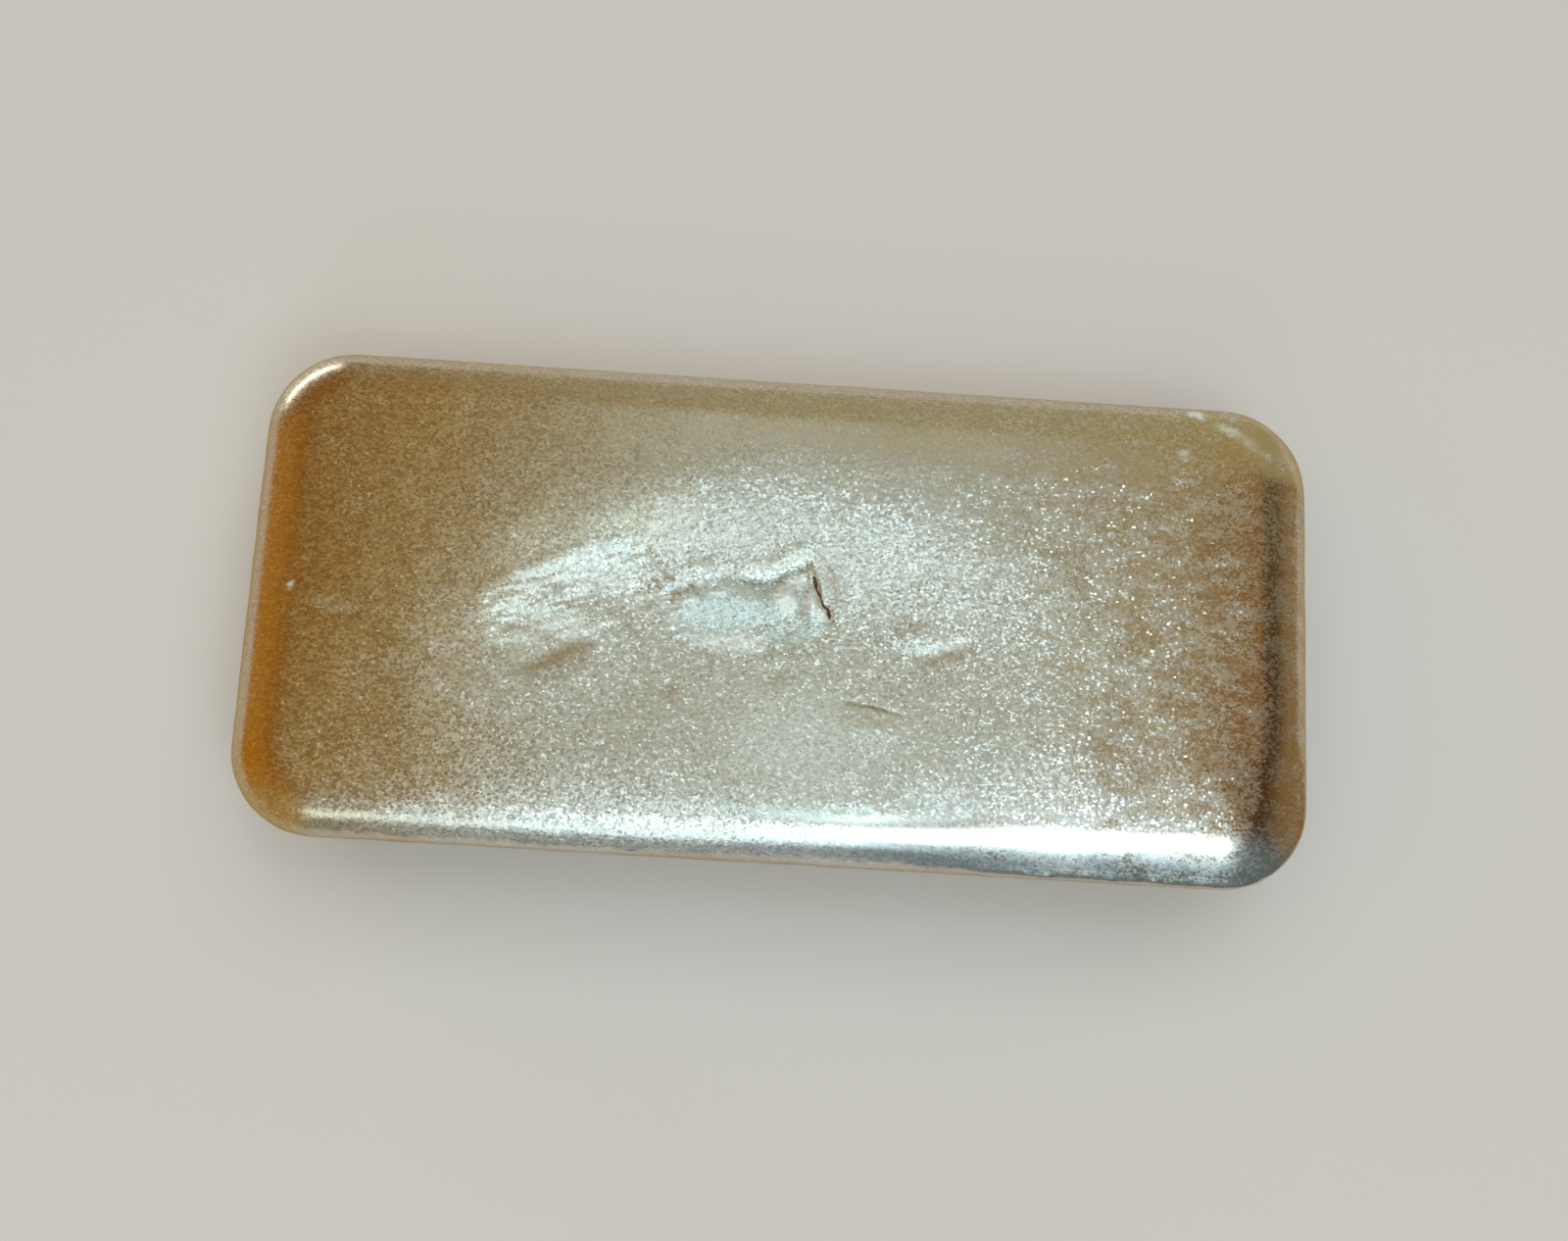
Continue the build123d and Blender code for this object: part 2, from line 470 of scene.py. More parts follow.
# Short streaks by chance in a box of the face, each as drawn points and a half width, climbing to the right
def tornStreaks(settings, turn):
    count = settings["count"]
    chance = np.random.default_rng(settings["seed"])
    starts = chance.uniform(settings["from"], settings["to"], (count, 2))
    lengths = chance.uniform(*settings["length"], count)
    turns = turn + chance.normal(0, settings["turnSpread"], count)
    ends = starts + lengths[:, None] * np.stack([np.cos(turns), np.sin(turns)], axis=-1)
    middles = (starts + ends) / 2 + chance.normal(0, settings["bend"], starts.shape)
    widths = chance.uniform(*settings["width"], count)
    return zip(np.stack([starts, middles, ends], axis=1), widths)


# Distance inwards from the bar's widest outline: a rounded rectangle
def insetFromOutline(x, y):
    radius = barForm["cornerRadius"]
    pastX, pastY = np.abs(x) - barLength / 2 + radius, np.abs(y) - barWidth / 2 + radius
    pastCorner = np.hypot(np.maximum(pastX, 0), np.maximum(pastY, 0))
    return radius - pastCorner - np.minimum(np.maximum(pastX, pastY), 0)


# Height of the open face where nothing tore: the dish (1 - q^2)^2, the lean before the lip, and low swells
def dishHeight(x, y, points):
    dish, crown, swell = faceMarks["dish"], faceMarks["crown"], faceMarks["swell"]
    height = -dish["depth"] * np.clip(1 - shareOut(x, y, dish["middle"], dish["reach"]) ** 2, 0, 1) ** 2
    nearSide = ease(*crown["nearSide"], y)
    lean = (crown["least"] + setIn(crown["rightwards"], x)) * (1 - nearSide * setIn(crown["nearFlat"], x))
    lean += nearSide * sum(setIn(step, x) for step in crown["nearLean"])
    middle, reach, strength = crown["nearRise"]
    lean -= nearSide * strength * hump(x - middle, reach)
    height -= crown["depth"] * lean * hump(insetFromOutline(x, y), crown["reach"])
    height += swell["height"] * castNoise("swell", points)
    return height + swell["smallHeight"] * castNoise("smallSwell", points)


# Height of the long lobe: its far lip rolls over and its floor falls, and its near side is a slow slope
def lobeHeight(x, y, inLobe, streaks):
    lobe = faceMarks["lobe"]
    nearSide = ease(*lobe["nearSide"], y)
    deep = lobe["leastDeep"] + setIn(lobe["deepening"], x)
    farSide = setIn(lobe["roll"], inLobe) + setIn(lobe["floor"], inLobe) * deep
    height = -(1 - nearSide) * farSide - nearSide * setIn(lobe["nearWall"], inLobe)
    return height + setIn(lobe["streaked"], inLobe) * castNoise("lobeStreaks", streaks)


# Height of the pit: a ridge stands along its far lip, which falls steeply, and its near side is a slow slope
def pitHeight(x, y, inPit):
    pit = faceMarks["pit"]
    nearSide = ease(*pit["nearSide"], y)
    steep = pit["leastSteep"] + setIn(pit["steepening"], x)
    place, halfWidth, rise = pit["ridge"]
    ridge = rise * steep * (1 - setIn(pit["ridgeEnd"], x)) * hump(inPit - place, halfWidth)
    farFall = setIn(pit["tear"], inPit) * steep * (1 - setIn(pit["tearEnd"], x)) + setIn(pit["floor"], inPit)
    return (1 - nearSide) * (ridge - farFall) - nearSide * setIn(pit["nearWall"], inPit)


# How frosted the face is: a product of eases along and across it that wander with slow noise,
# or the near band where that is stronger
def frostShare(x, y, drift):
    bend, bendLimit = faceFrost["leftBend"]
    bare, full = faceFrost["leftLimit"]
    bare = bare + bend * np.clip(y, -bendLimit, bendLimit)
    share = ease(bare, full, x - faceFrost["leftSlant"] * y + faceFrost["wander"] * drift)
    share *= 1 - setIn(faceFrost["rightLess"], x + faceFrost["rightSlant"] * y)
    behind, band = faceFrost["behindLobe"], faceFrost["nearBand"]
    share *= 1 - setIn(behind["across"], y) * ease(*behind["from"], x) * ease(*behind["to"], x)
    share *= ease(*faceFrost["farSide"], y + faceFrost["farWander"] * drift)
    nearBand = faceFrost["least"] + setIn(band["across"], y) * ease(*band["along"], x)
    return np.maximum(share * (1 + faceFrost["patchy"] * drift), nearBand)


# Height of the open face over its plane, with folds, bumps and the crack as soft humps, and its finish:
# frost, the pale skin of the pit and the haze, torn crystals, the painted shade of the folds, pale strokes
# (chalky crystals and painted highlights), painted shade under the lips, the crack's painted shade, and how
# calm the crystals lie
def faceRelief(x, y):
    places = np.stack([x, y], axis=-1)
    points = np.stack([x, y, np.zeros_like(x)], axis=-1)
    turn = faceMarks["streakTurn"]
    alongStreak = x * math.cos(turn) + y * math.sin(turn)
    acrossStreak = y * math.cos(turn) - x * math.sin(turn)
    streaks = np.stack([faceMarks["streakStretch"] * alongStreak, acrossStreak, np.zeros_like(x)], axis=-1)
    ragged = faceMarks["ragged"] * castNoise("hollowEdge", points)
    lobe, pit = faceMarks["lobe"], faceMarks["pit"]
    inLobe = -insideDistance(places, drawnLine(lobe["edge"], closed=True)) + ragged
    inPit = -insideDistance(places, drawnLine(pit["edge"], closed=True)) + ragged
    height = dishHeight(x, y, points) + lobeHeight(x, y, inLobe, streaks) + pitHeight(x, y, inPit)

    torn = np.maximum(setIn(lobe["torn"], inLobe), setIn(pit["torn"], inPit) * ease(*pit["tornFrom"], y))
    height += faceMarks["tornGrain"] * torn * castNoise("tornGrain", points)
    crack = faceMarks["crack"]
    crackGap, crackShare = besideLine(places, drawnLine(crack["line"]))
    crackGap = crackGap + crack["ragged"] * castNoise("crackEdge", points)
    crackEnds = ease(*crack["starts"], crackShare) * ease(*crack["ends"], crackShare)
    height -= crack["depth"] * hump(crackGap, crack["halfWidth"]) * crackEnds
    for drawn, depth, width in faceFolds:
        height -= depth * softStroke(places, points, drawn, width)
    for bumpX, bumpY, rise, reachX, reachY in faceBumps:
        height += rise * hump(shareOut(x, y, (bumpX, bumpY), (reachX, reachY)))

    pale = strokesTogether(places, points, paleStrokes)
    least, *streakStep = faceMarks["paleShare"]
    pale *= least + setIn(streakStep, castNoise("paleStreaks", streaks))
    form = faceMarks["streaks"]
    for drawn, width in tornStreaks(form, turn):
        streak = softStroke(places, points, drawn, width) * ease(*form["within"], np.maximum(inLobe, inPit))
        pale = np.maximum(pale, form["strength"] * streak)
        height += form["height"] * streak
    calm = np.zeros_like(x)
    for lumpX, lumpY, reach in faceMarks["lumps"]:
        calm = np.maximum(calm, faceMarks["lumpCalm"] * hump(np.hypot(x - lumpX, y - lumpY), reach))

    drift = castNoise("drift", points)
    bloom = np.maximum(frostShare(x, y, drift), np.maximum(torn, pale))
    skinShare, skinStreaks = pit["skinShare"]
    pitSkin = ease(*pit["skin"], inPit) * ease(*pit["skinFrom"], y)
    pitSkin *= skinShare + skinStreaks * castNoise("pitStreaks", streaks)
    haze = faceMarks["haze"]
    hazy = hump(shareOut(x, y, haze["middle"], haze["reach"])) * (1 + faceMarks["hazeDrift"] * drift)
    marks = {"bloom": bloom, "torn": torn, "calm": calm, "pale": np.maximum(pale, haze["pale"] * hazy),
             "dirt": strokesTogether(places, points, foldShadeStrokes),
             "dull": strokesTogether(places, points, paintedShadeStrokes),
             "crack": hump(crackGap, crack["darkHalfWidth"]) * crackEnds}
    marks = {name: np.clip(values, 0, 1) for name, values in marks.items()}
    marks["pit"] = np.maximum(pitSkin, haze["skin"] * hazy)
    return height, marks


# Relief of the walls and base, along the way outwards and never past the skin's room:
# orange peel from the mould, longer along the bar than up it, and a few slow dents
def mouldRelief(form, points):
    peel = castNoise("peel", points * np.array(form["peelStretch"]))
    return form["peelHeight"] * peel + form["dentHeight"] * castNoise("dents", points)


# Marks of the skin that follow from its place on the bar: products of eases along, across and inwards
def skinMarks(x, y, onTop, wallShare, lumpCalm):
    rightClear, nearClear = skinPlaces["rightClear"], skinPlaces["nearClear"]
    straw = 1 - setIn(rightClear["across"], y) * ease(*rightClear["along"], x)
    straw *= setIn(skinPlaces["rightStraw"], x)
    straw += ease(*skinPlaces["leftStraw"], -x + skinPlaces["leftSlant"] * y)
    straw += setIn(skinPlaces["farStraw"], y)
    straw *= 1 - setIn(nearClear["across"], y) * ease(*nearClear["along"], x) * onTop
    inset = insetFromOutline(x, y)
    slant, slantFrom = skinPlaces["shineSlant"]
    smooth = ease(*skinPlaces["shineFrom"], y - slant * np.minimum(x - slantFrom, 0))
    smooth *= 1 - setIn(skinPlaces["rightDull"], x)
    near, end = skinPlaces["nearCalm"], skinPlaces["endCalm"]
    nearCalm = ease(*near["inset"], inset) * ease(*near["across"], y) * ease(*near["along"], x)
    endCalm = ease(*end["inset"], inset) * ease(*end["along"], x)
    return {
        "straw": np.clip(straw, 0, 1),
        "shine": np.where(onTop, ease(*skinPlaces["lipShine"], inset), 0) * (1 - wallShare) * smooth,
        "calm": np.where(onTop, np.maximum(lumpCalm, np.maximum(nearCalm, endCalm)), 0),
        "mottle": ease(*skinPlaces["mottle"], x) * (1 - wallShare),
        "wall": wallShare,
    }


# The knocked corner: nothing stands above its plane, which falls with the distance beyond the crease
def knockCorner(points, onTop):
    start, end = np.array(wornCorner["start"]), np.array(wornCorner["end"])
    across = np.array([start[1] - end[1], end[0] - start[0]]) / np.linalg.norm(end - start)
    beyond = (points[..., :2] - start) @ across
    plane = barHeight - wornCorner["below"] - math.tan(wornCorner["fall"]) * beyond
    plane += wornCorner["rough"] * castNoise("wornFlat", points)
    knocked = (beyond > wornCorner["from"]) & onTop
    return np.where(knocked, np.minimum(points[..., 2], plane), points[..., 2])


# Joins the rings into one closed mesh: quads between rings, and a zip of quads across the last ring
# at each end
def ringFaces(ringCount, columns):
    ring = np.arange(ringCount - 1)[:, None] * columns
    column = np.arange(columns)[None, :]
    after = (column + 1) % columns
    quads = np.stack([ring + column, ring + columns + column, ring + columns + after, ring + after], axis=-1)
    half = columns // 2
    j = np.arange(1, half - 1)
    top = np.stack([columns - j, j, j + 1, columns - j - 1], axis=-1)
    last = (ringCount - 1) * columns
    bottom = top[:, ::-1] + last
    ends = np.array([[columns - 1, 0, 1], [half - 1, half, half + 1]])
    return quads.reshape(-1, 4), np.vstack([top, bottom]), np.vstack([ends, ends[:, ::-1] + last])


# Puts points in millimetres and faces into a mesh object that sits at the origin
def placeMesh(name, points, faceSets, marks):
    mesh = bpy.data.meshes.new(name)
    faces = [face for faceSet in faceSets for face in faceSet.tolist()]
    mesh.from_pydata((points * metresPerMillimetre).tolist(), [], faces)
    mesh.polygons.foreach_set("use_smooth", np.ones(len(faces), bool))
    for markName, values in marks.items():
        mark = mesh.attributes.new(markName, "FLOAT", "POINT")
        mark.data.foreach_set("value", np.asarray(values, np.float32).ravel())
    mesh.update()
    piece = bpy.data.objects.new(name, mesh)
    bpy.context.scene.collection.objects.link(piece)
    return piece


# The cast bar: a profile of rings carried round the outline, then moved by the relief along its own normals
def castBar(form):
    halfLength = barLength / 2 - form["skin"]
    halfWidth = barWidth / 2 - form["skin"]
    share, path, outwards = outlineFrame(form, halfLength, halfWidth)
    rings, zone = barProfile(form, barHeight - form["skin"])
    spine = np.stack([spinePlaces(form, share, halfLength), np.zeros_like(share)], axis=-1)
    inset, level, pull = rings[:, 0, None, None], rings[:, 1, None], rings[:, 2, None, None]
    outline = path[None] + (form["cornerRadius"] - inset) * outwards[None]
    plan = outline * (1 - pull) + spine[None] * pull
    points = np.concatenate([plan, np.broadcast_to(level[..., None], plan.shape[:2] + (1,))], axis=-1)

    x, y = points[..., 0], points[..., 1]
    height, marks = faceRelief(x, y)
    onTop = np.isin(zone, ["face", "lip"])[:, None]
    lipTurn = np.clip((barHeight - points[..., 2]) / form["lipDrop"], 0, 1)
    fade = np.where(onTop, 1 - lipTurn, 0)  # the relief of the face fades out over the lip's rounding
    wallShare = np.where(onTop, ease(*form["wallFrom"], lipTurn), 1)
    wallShare = np.where((zone == "face")[:, None], 0, wallShare)
    around = np.roll(points, -1, axis=1) - np.roll(points, 1, axis=1)
    down = np.gradient(points, axis=0)
    normal = np.cross(down, around)
    normal /= np.maximum(np.linalg.norm(normal, axis=-1, keepdims=True), tiny)
    normal[zone == "face"] = (0, 0, 1)
    peel = mouldRelief(form, points)
    lipWave = form["lipWave"] * castNoise("lipWave", points) - form["lipSink"]
    relief = wallShare * peel + (1 - wallShare) * (1 - fade) * lipWave
    relief = np.where((zone == "base")[:, None], -form["baseRelief"] * np.abs(peel), relief)
    points = points + normal * relief[..., None]
    points[..., 2] += height * fade
    points[..., 2] = np.clip(knockCorner(points, onTop), 0, barHeight)
    marks.update(skinMarks(x, y, onTop, wallShare, marks["calm"]))
    faceSets = ringFaces(len(rings), form["columns"])
    piece = placeMesh("ingot_bar", points.reshape(-1, 3), faceSets, marks)
    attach(piece, "root")
    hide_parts("ingot")
    triangles = sum(len(faces) * (faces.shape[1] - 2) for faces in faceSets)
    print("bar cast,", triangles, "triangles")
    return piece


# One socket of a shader's tree: arithmetic on it adds Math nodes, and node() adds any other kind
class Signal:
    tree = None

    def __init__(self, socket):
        self.socket = socket

    @classmethod
    def node(cls, kind, settings=None, inputs=None, output=0):
        made = cls.tree.nodes.new(kind)
        for name, value in (settings or {}).items():
            if name == "stops":
                while len(made.color_ramp.elements) < len(value):
                    made.color_ramp.elements.new(0.5)
                for stop, (position, colour) in zip(made.color_ramp.elements, value):
                    stop.position = position
                    stop.color = (*colour, 1)
            else:
                setattr(made, name, value)
        for name, value in (inputs or {}).items():
            if isinstance(value, Signal):
                cls.tree.links.new(value.socket, made.inputs[name])
            else:
                made.inputs[name].default_value = value
        return cls(made.outputs[output]) if made.outputs else made

    def maths(self, operation, *others, clamp=False):
        values = dict(enumerate((self, *others)))
        return Signal.node("ShaderNodeMath", {"operation": operation, "use_clamp": clamp}, values)

    def __add__(self, other):
        return self.maths("ADD", other)

    __radd__ = __add__

    def __sub__(self, other):
        return self.maths("SUBTRACT", other)

    def __rsub__(self, other):
        return Signal.node("ShaderNodeMath", {"operation": "SUBTRACT"}, {0: other, 1: self})

    def __mul__(self, other):
        return self.maths("MULTIPLY", other)

    __rmul__ = __mul__

    def __pow__(self, other):
        return self.maths("POWER", other)

    def limited(self):
        return self.maths("ADD", 0.0, clamp=True)

    def eased(self, low, high):
        inputs = {"Value": self, "From Min": low, "From Max": high}
        return Signal.node("ShaderNodeMapRange", {"interpolation_type": "SMOOTHSTEP"}, inputs)


# A colour between two others
def blend(factor, first, second):
    colours = [value if isinstance(value, Signal) else (*value, 1) for value in (first, second)]
    inputs = {0: factor, 6: colours[0], 7: colours[1]}
    return Signal.node("ShaderNodeMix", {"data_type": "RGBA"}, inputs, output=2)


# Frosted cast tin. Sizes are in metres, colours are linear
tinFinish = {
    "bare": (0.70, 0.66, 0.57),  # the smooth metal between the frosted crystals
    "frosted": (0.76, 0.80, 0.81),
    "glint": (0.97, 0.98, 1.0),  # painted glints: the near-white colour of the few crystals, standing in for their sparkle
    "straw": (0.69, 0.53, 0.28),  # a thin golden oxide skin where the metal cooled last, also a painted warm reflection at the ends
    "pitFloor": (0.57, 0.74, 0.78),
    "chalkAndHighlight": (0.83, 0.97, 1.0),
    "paintedShadeGrey": (0.36, 0.42, 0.38),
    "foldShadeBrown": (0.33, 0.25, 0.10),
    "crackShade": (0.075, 0.040, 0.025),
    "walls": (0.60, 0.575, 0.52),
    "strawWall": (0.52, 0.36, 0.16),
    "edgeTint": (0.85, 0.68, 0.46),  # what metal seen almost edge-on reflects
    "grainSize": 0.00016,
    "grainStretch": (0.75, 1.0, 1.0),
    "patchSize": 0.0014,
    "patchStretch": (0.5, 1.0, 1.0),
    "peelSize": 0.0011,
    "hammerSize": 0.00264,
    "skinSize": 0.0004,
    "driftSize": 0.0050,
    "slowSize": 0.006,
    "bumpHeight": 0.0002,
    "bumpStrength": 0.8,
    "leanSpread": (1.3, 2.1, 2.0),  # how a crystal's lean is spread along and across the bar
    "paintedLipReflection": (0.015, 0.0185),  # the walls' golden tint grows between these heights, as a painted warm reflection along the lip's top
    "bareLean": 0.025,  # how far the crystals lean, where the metal is smooth and where it is frosted
    "frostedLean": 0.058,
    "glintLean": 0.075,
    "bareRoughness": 0.25,
    "frostedRoughness": 0.32,
    "tornRoughness": 0.31,
    "lipRoughness": 0.23,
    "wallRoughness": 0.20,
}


# Cast tin: smooth metal with frosted crystals that each lean their own way. The marks of the mesh say where
# it is frosted, golden, torn, stained or calm
def castTin(finish):
    material = bpy.data.materials.new("castTin")
    material.use_nodes = True
    Signal.tree = material.node_tree
    Signal.tree.nodes.clear()
    place = Signal.node("ShaderNodeTexCoord", output="Object")
    upright = Signal.node("ShaderNodeNewGeometry", output="Normal")

    def mark(name):
        return Signal.node("ShaderNodeAttribute", {"attribute_name": name}, output="Fac")

    def vector(operation, first, second=(0, 0, 0)):
        return Signal.node("ShaderNodeVectorMath", {"operation": operation}, {0: first, 1: second})

    def scaled(value, amount):
        return Signal.node("ShaderNodeVectorMath", {"operation": "SCALE"}, {0: value, "Scale": amount})

    along = vector("MULTIPLY", place, finish["grainStretch"])

    def noise(size, detail=2.0, where=place):
        inputs = {"Vector": where, "Scale": 1 / size, "Detail": detail}
        return Signal.node("ShaderNodeTexNoise", None, inputs)

    # A colour by chance for each crystal, and the first two of its three values
    def crystals(size):
        inputs = {"Vector": along, "Scale": 1 / size}
        colour = Signal.node("ShaderNodeTexVoronoi", None, inputs, output="Color")
        chances = [Signal.node("ShaderNodeSeparateColor", None, {0: colour}, output=part) for part in (0, 1)]
        return colour, *chances

    bloom, pit, torn, calm = mark("bloom"), mark("pit"), mark("torn"), mark("calm")
    dirt, pale, dull, crack = mark("dirt"), mark("pale"), mark("dull"), mark("crack")
    straw, wall, shine, mottle = mark("straw"), mark("wall"), mark("shine"), mark("mottle")
    grain, grainChance, leanChance = crystals(finish["grainSize"])
    glintChance = 1 - leanChance  # so that the crystals that glint lean towards the near side
    slow = noise(finish["slowSize"], 3.0)
    patch = noise(finish["patchSize"], 3.0, vector("MULTIPLY", place, finish["patchStretch"]))
    drift = noise(finish["driftSize"], 2.0, along)

    # how frosted each crystal is, and which ones glint
    spread = bloom * 1.9 + (patch - 0.5) * (1.5 + mottle * 3.6) + (drift - 0.5) * 0.6
    spread = spread + (grainChance - 0.5) * (0.4 + mottle * 1.3)
    frosted = (spread.eased(0.20, 1.60) * (1 - wall * 0.6)).limited()
    glint = glintChance.eased(0.74, 1.0) * frosted ** 2 * (1 - pit * 0.7)
    bareGlint = glintChance.eased(0.93, 1.0) * (1 - wall) * (1 - calm) * (1 - frosted) * 0.7
    glint = (glint + bareGlint).limited()

    # how far each crystal leans, and the skin's bumps on top of that
    lean = frosted * (finish["frostedLean"] - finish["bareLean"]) + finish["bareLean"]
    lean = lean * (1 - pit * 0.4 + torn * 0.6) + glint * finish["glintLean"] * (0.75 + mottle * 0.6)
    lean = lean * (1 - shine * 0.7) * (1 - calm * 0.96)
    lean = lean * (0.55 + bloom * 0.45 + mottle * 0.7 + pale * 1.0) * (1 - wall * 0.5)
    facet = vector("MULTIPLY", vector("SUBTRACT", grain, (0.5, 0.5, 0.5)), finish["leanSpread"])
    facet = vector("NORMALIZE", vector("ADD", upright, scaled(facet, lean)))
    peel = noise(finish["peelSize"], 1.5)
    hammered = noise(finish["hammerSize"], 1.0)
    skin = noise(finish["skinSize"], 2.0)
    height = (peel * 0.8 + hammered * 2.2) * wall + skin * (0.06 + frosted * 0.10) * (1 - calm * 0.95)
    bumped = Signal.node("ShaderNodeBump", None, {
        "Height": height, "Distance": finish["bumpHeight"],
        "Strength": finish["bumpStrength"], "Normal": facet})

    # colours: metal, then its golden skin (oxide, and partly a painted warm reflection), painted glints, pale
    # strokes, the walls, the painted shade of the folds and of the crack, and a shade of its own for each
    # crystal
    # golden: an oxide tint that also stands in as a painted warm reflection towards both ends
    golden = straw * (0.75 + slow * 0.5) * (1 - frosted * 0.45)
    golden = (golden * (1 - shine * 0.7) * (1 - torn * 0.8)).limited()
    bare = blend(golden, finish["bare"], finish["straw"])
    colour = blend(frosted, bare, blend(golden * 0.8, finish["frosted"], finish["straw"]))
    colour = blend(pit * 0.8, colour, finish["pitFloor"])
    # painted glints: a near-white colour on crystals picked by chance, on frosted and bare metal
    colour = blend(glint * 0.8, colour, finish["glint"])
    # pale strokes: chalky torn crystals, and painted highlights on the pit's ridge, lumps and knocked corner
    colour = blend((pale * 1.1).limited(), colour, finish["chalkAndHighlight"])
    # painted shade, greenish grey, in the shelter of the lips and in the near furrow
    colour = blend((dull * 0.9).limited(), colour, finish["paintedShadeGrey"])
    level = Signal.node("ShaderNodeSeparateXYZ", None, {0: place}, output="Z")
    # the walls' golden tint, stronger towards the lip's top as a painted warm reflection, with random warm
    # patches
    nearLip = level.eased(*finish["paintedLipReflection"])
    warmWallAndLipReflection = (golden * (0.35 + nearLip * 1.1) + drift.eased(0.42, 0.70) * 0.35).limited()
    wallColour = blend(warmWallAndLipReflection, finish["walls"], finish["strawWall"])
    # painted glints on the walls
    wallColour = blend(glintChance.eased(0.90, 1.0) * 0.3, wallColour, finish["glint"])
    colour = blend(wall, colour, wallColour)
    # painted shade, brown, in the folds, which are also rougher and less metallic there
    colour = blend((dirt * 1.2).limited(), colour, finish["foldShadeBrown"])
    # painted shade down in the crack: a near-black brown with no metal
    colour = blend(crack.eased(0.35, 0.7), colour, finish["crackShade"])
    shade = grainChance * (0.34 - wall * 0.20 - calm * 0.25) + (0.80 + wall * 0.10 + calm * 0.12)
    grey = Signal.node("ShaderNodeCombineColor", None, {0: shade, 1: shade, 2: shade})
    colour = Signal.node("ShaderNodeMix", {"data_type": "RGBA", "blend_type": "MULTIPLY"},
                         {0: 1.0, 6: colour, 7: grey}, output=2)

    bareRoughness = finish["bareRoughness"]
    roughness = bareRoughness + frosted * (finish["frostedRoughness"] - bareRoughness)
    roughness = roughness + (grainChance - 0.5) * 0.10 + (slow - 0.5) * 0.10
    roughness = roughness + torn * (finish["tornRoughness"] - finish["frostedRoughness"])
    roughness = roughness + shine * (finish["lipRoughness"] - finish["frostedRoughness"]) * frosted
    roughness = roughness - calm * (1 - wall) * 0.05 + wall * (finish["wallRoughness"] - bareRoughness)
    roughness = roughness + dirt * 0.2
    metallic = 1 - dirt * 0.5 - crack - pale * 0.55 - pit * 0.38

    shader = Signal.node("ShaderNodeBsdfPrincipled", None, {
        "Base Color": colour, "Metallic": metallic.limited(),
        "Roughness": roughness.limited(), "Specular Tint": (*finish["edgeTint"], 1), "Normal": bumped})
    Signal.node("ShaderNodeOutputMaterial", None, {"Surface": shader})
    print("tin finish mixed")
    return material


# A plain surface of one colour, for the floor
def plainMaterial(name, colour, roughness):
    material = bpy.data.materials.new(name)
    material.use_nodes = True
    shader = material.node_tree.nodes["Principled BSDF"]
    shader.inputs["Base Color"].default_value = (*colour, 1)
    shader.inputs["Roughness"].default_value = roughness
    return material


# The studio: a pale floor and soft lamps. Places are in metres, and a lamp's glow is how bright its face is,
# where white is about 1. The sky's colours are linear, each for the side of the room that it stands in.
studio = {
    "floorHalf": 3.0,
    "floorColour": (0.72, 0.735, 0.755),
    "floorRoughness": 0.85,
    "sky": {
        # the colour of each side, and from where to where it sets in
        "horizon": (0.72, 0.69, 0.64),
        "horizonUp": (0.14, 0.04),
        "front": (0.14, 0.175, 0.185),
        "frontFrom": (-0.15, -0.50),
        "frontLeft": (0.42, 0.30, 0.12),
        "frontLeftFrom": (-0.05, -0.30),
        "back": (0.43, 0.385, 0.24),
        "backFrom": (0.30, 0.42),
        "backLeft": (0.25, 0.120, 0.028),
        "backLeftFrom": (-0.02, -0.22),
        "middle": (0.86, 1.0, 0.94),
        "middleWithin": {"front": (0.31, 0.37), "back": (0.52, 0.43),
                         "left": (-0.06, 0.01), "right": (0.15, 0.06)},
        # from the left side of the room to the right one, as (how far right the direction points, colour)
        "across": [
            (-0.70, (0.45, 0.20, 0.014)),
            (-0.35, (0.31, 0.155, 0.026)),
            (-0.17, (0.275, 0.17, 0.052)),
            (-0.07, (0.355, 0.325, 0.205)),
            (0.00, (0.49, 0.525, 0.41)),
            (0.08, (0.48, 0.465, 0.345)),
            (0.21, (0.205, 0.108, 0.036)),
            (0.36, (0.32, 0.13, 0.032)),
            (0.48, (0.07, 0.035, 0.018)),
            (0.70, (0.07, 0.04, 0.022)),
            (0.86, (0.28, 0.19, 0.10)),
        ],
    },
    "lamps": [
        # the two ends of each lamp's middle line, its width and what it points at. Metal shows all but one
        {"name": "overhead", "from": (0.002, 0.004, 0.60), "to": (0.082, 0.018, 0.60), "width": 0.11,
         "aim": (0, 0, 0.02), "glow": 5.3, "colour": (0.70, 0.93, 1.0)},
        {"name": "frontRight", "from": (0.008, -0.28, 0.45), "to": (0.158, -0.195, 0.495), "width": 0.16,
         "aim": (0.01, -0.01, 0.02), "glow": 5.0, "colour": (0.86, 1.0, 1.0)},
        {"name": "frontLeft", "from": (-0.105, -0.42, 0.33), "to": (0.055, -0.365, 0.37), "width": 0.13,
         "aim": (-0.01, -0.01, 0.02), "glow": 2.4, "colour": (0.86, 1.0, 1.0)},
        {"name": "floorFill", "from": (-0.6, 0.0, 1.1), "to": (0.6, 0.0, 1.1), "width": 1.2,
         "aim": (0, 0, 0), "glow": 1.2, "colour": (0.96, 0.98, 1.0), "inMetal": False},
        {"name": "rim", "from": (-0.65, 0.42, 0.15), "to": (-0.28, 0.68, 0.15), "width": 0.09,
         "aim": (-0.03, 0.01, 0.02), "glow": 5.0, "colour": (0.9, 1.0, 1.0)},
    ],
}


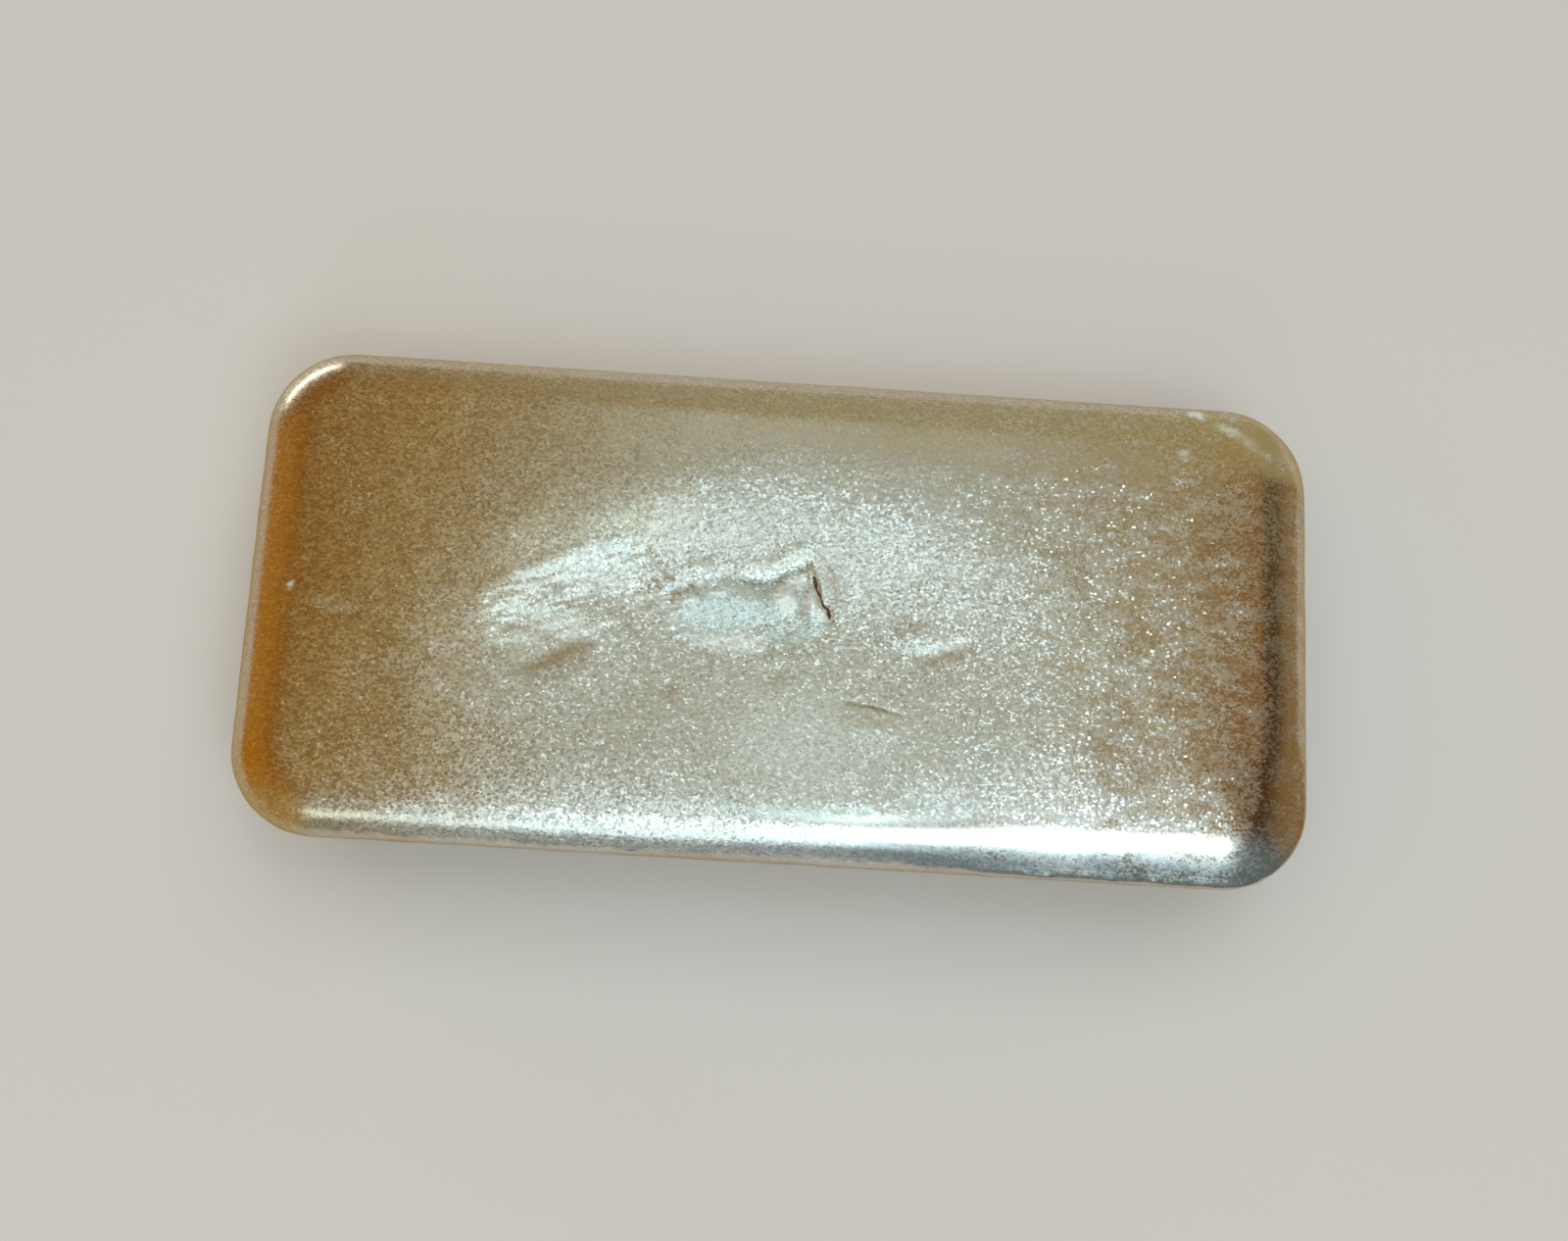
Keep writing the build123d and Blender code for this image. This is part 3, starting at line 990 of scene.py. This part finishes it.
# The sky: a band of colours across the room, one at its front and back, and one low over the floor
def paintSky(sky):
    world = bpy.data.worlds.new("softSky")
    world.use_nodes = True
    Signal.tree = world.node_tree
    Signal.tree.nodes.clear()
    direction = Signal.node("ShaderNodeTexCoord", output="Generated")
    x, y, z = (Signal.node("ShaderNodeSeparateXYZ", None, {0: direction}, output=axis) for axis in "XYZ")
    stops = [((place + 1) / 2, colour) for place, colour in sky["across"]]
    colour = Signal.node("ShaderNodeValToRGB", {"stops": stops}, {0: x * 0.5 + 0.5})
    back = blend(x.eased(*sky["backLeftFrom"]), sky["back"], sky["backLeft"])
    colour = blend(y.eased(*sky["backFrom"]), colour, back)
    within = sky["middleWithin"]
    middle = y.eased(*within["front"]) * y.eased(*within["back"])
    middle = middle * x.eased(*within["left"]) * x.eased(*within["right"])
    colour = blend(middle, colour, sky["middle"])
    front = blend(x.eased(*sky["frontLeftFrom"]), sky["front"], sky["frontLeft"])
    colour = blend(y.eased(*sky["frontFrom"]), colour, front)
    colour = blend(z.eased(*sky["horizonUp"]), colour, sky["horizon"])
    shader = Signal.node("ShaderNodeBackground", None, {"Color": colour, "Strength": 1.0})
    Signal.node("ShaderNodeOutputWorld", None, {"Surface": shader})
    bpy.context.scene.world = world


# A lamp lies along its middle line and faces what it points at
def dressStudio(settings):
    half = settings["floorHalf"]
    mesh = bpy.data.meshes.new("studio_floor")
    corners = [(-half, -half, 0), (half, -half, 0), (half, half, 0), (-half, half, 0)]
    mesh.from_pydata(corners, [], [(0, 1, 2, 3)])
    floor = bpy.data.objects.new("studio_floor", mesh)
    bpy.context.scene.collection.objects.link(floor)
    mesh.materials.append(plainMaterial("paleFloor", settings["floorColour"], settings["floorRoughness"]))
    paintSky(settings["sky"])

    for lamp in settings["lamps"]:
        first, second = Vector(lamp["from"]), Vector(lamp["to"])
        middle, length = (first + second) / 2, (second - first).length
        along = (second - first).normalized()
        back = middle - Vector(lamp["aim"])
        back = (back - along * back.dot(along)).normalized()
        lampData = bpy.data.lights.new(lamp["name"], "AREA")
        lampData.shape = "RECTANGLE"
        lampData.size, lampData.size_y = length, lamp["width"]
        lampData.energy = lamp["glow"] * math.pi * length * lamp["width"]
        lampData.color = lamp["colour"]
        piece = bpy.data.objects.new(lamp["name"], lampData)
        turn = Matrix((along, back.cross(along), back)).transposed()
        piece.matrix_world = Matrix.Translation(middle) @ turn.to_4x4()
        piece.visible_camera = False
        piece.visible_glossy = lamp.get("inMetal", True)
        bpy.context.scene.collection.objects.link(piece)
    print("studio lit with", len(settings["lamps"]), "lamps")


# The photograph's eye point, in metres from the middle of the mould face, and the way its picture stands up
photoView = {
    "eye": (-0.0055, -0.0510, 0.2018),
    "aim": (0.0002, -0.0006, 0.0180),
    "upwards": (-0.0656, 0.9092, 0.4112),
    "lens": 53.0,
    "sensor": 36.0,
    "clip": (0.01, 20),
}


# The camera stands at the eye point and looks at what it is aimed at
def setCamera(settings):
    cameraData = bpy.data.cameras.new("photoCamera")
    cameraData.lens = settings["lens"]
    cameraData.sensor_width = settings["sensor"]
    cameraData.clip_start, cameraData.clip_end = settings["clip"]
    camera = bpy.data.objects.new("photoCamera", cameraData)
    eye = Vector(settings["eye"])
    back = (eye - Vector(settings["aim"])).normalized()
    right = Vector(settings["upwards"]).cross(back).normalized()
    up = back.cross(right)
    camera.matrix_world = Matrix.Translation(eye) @ Matrix((right, up, back)).transposed().to_4x4()
    bpy.context.scene.collection.objects.link(camera)
    bpy.context.scene.camera = camera
    print("camera set")


bar = castBar(barForm)
bar.data.materials.append(castTin(tinFinish))
dressStudio(studio)
setCamera(photoView)
bpy.context.scene.view_settings.view_transform = "Standard"
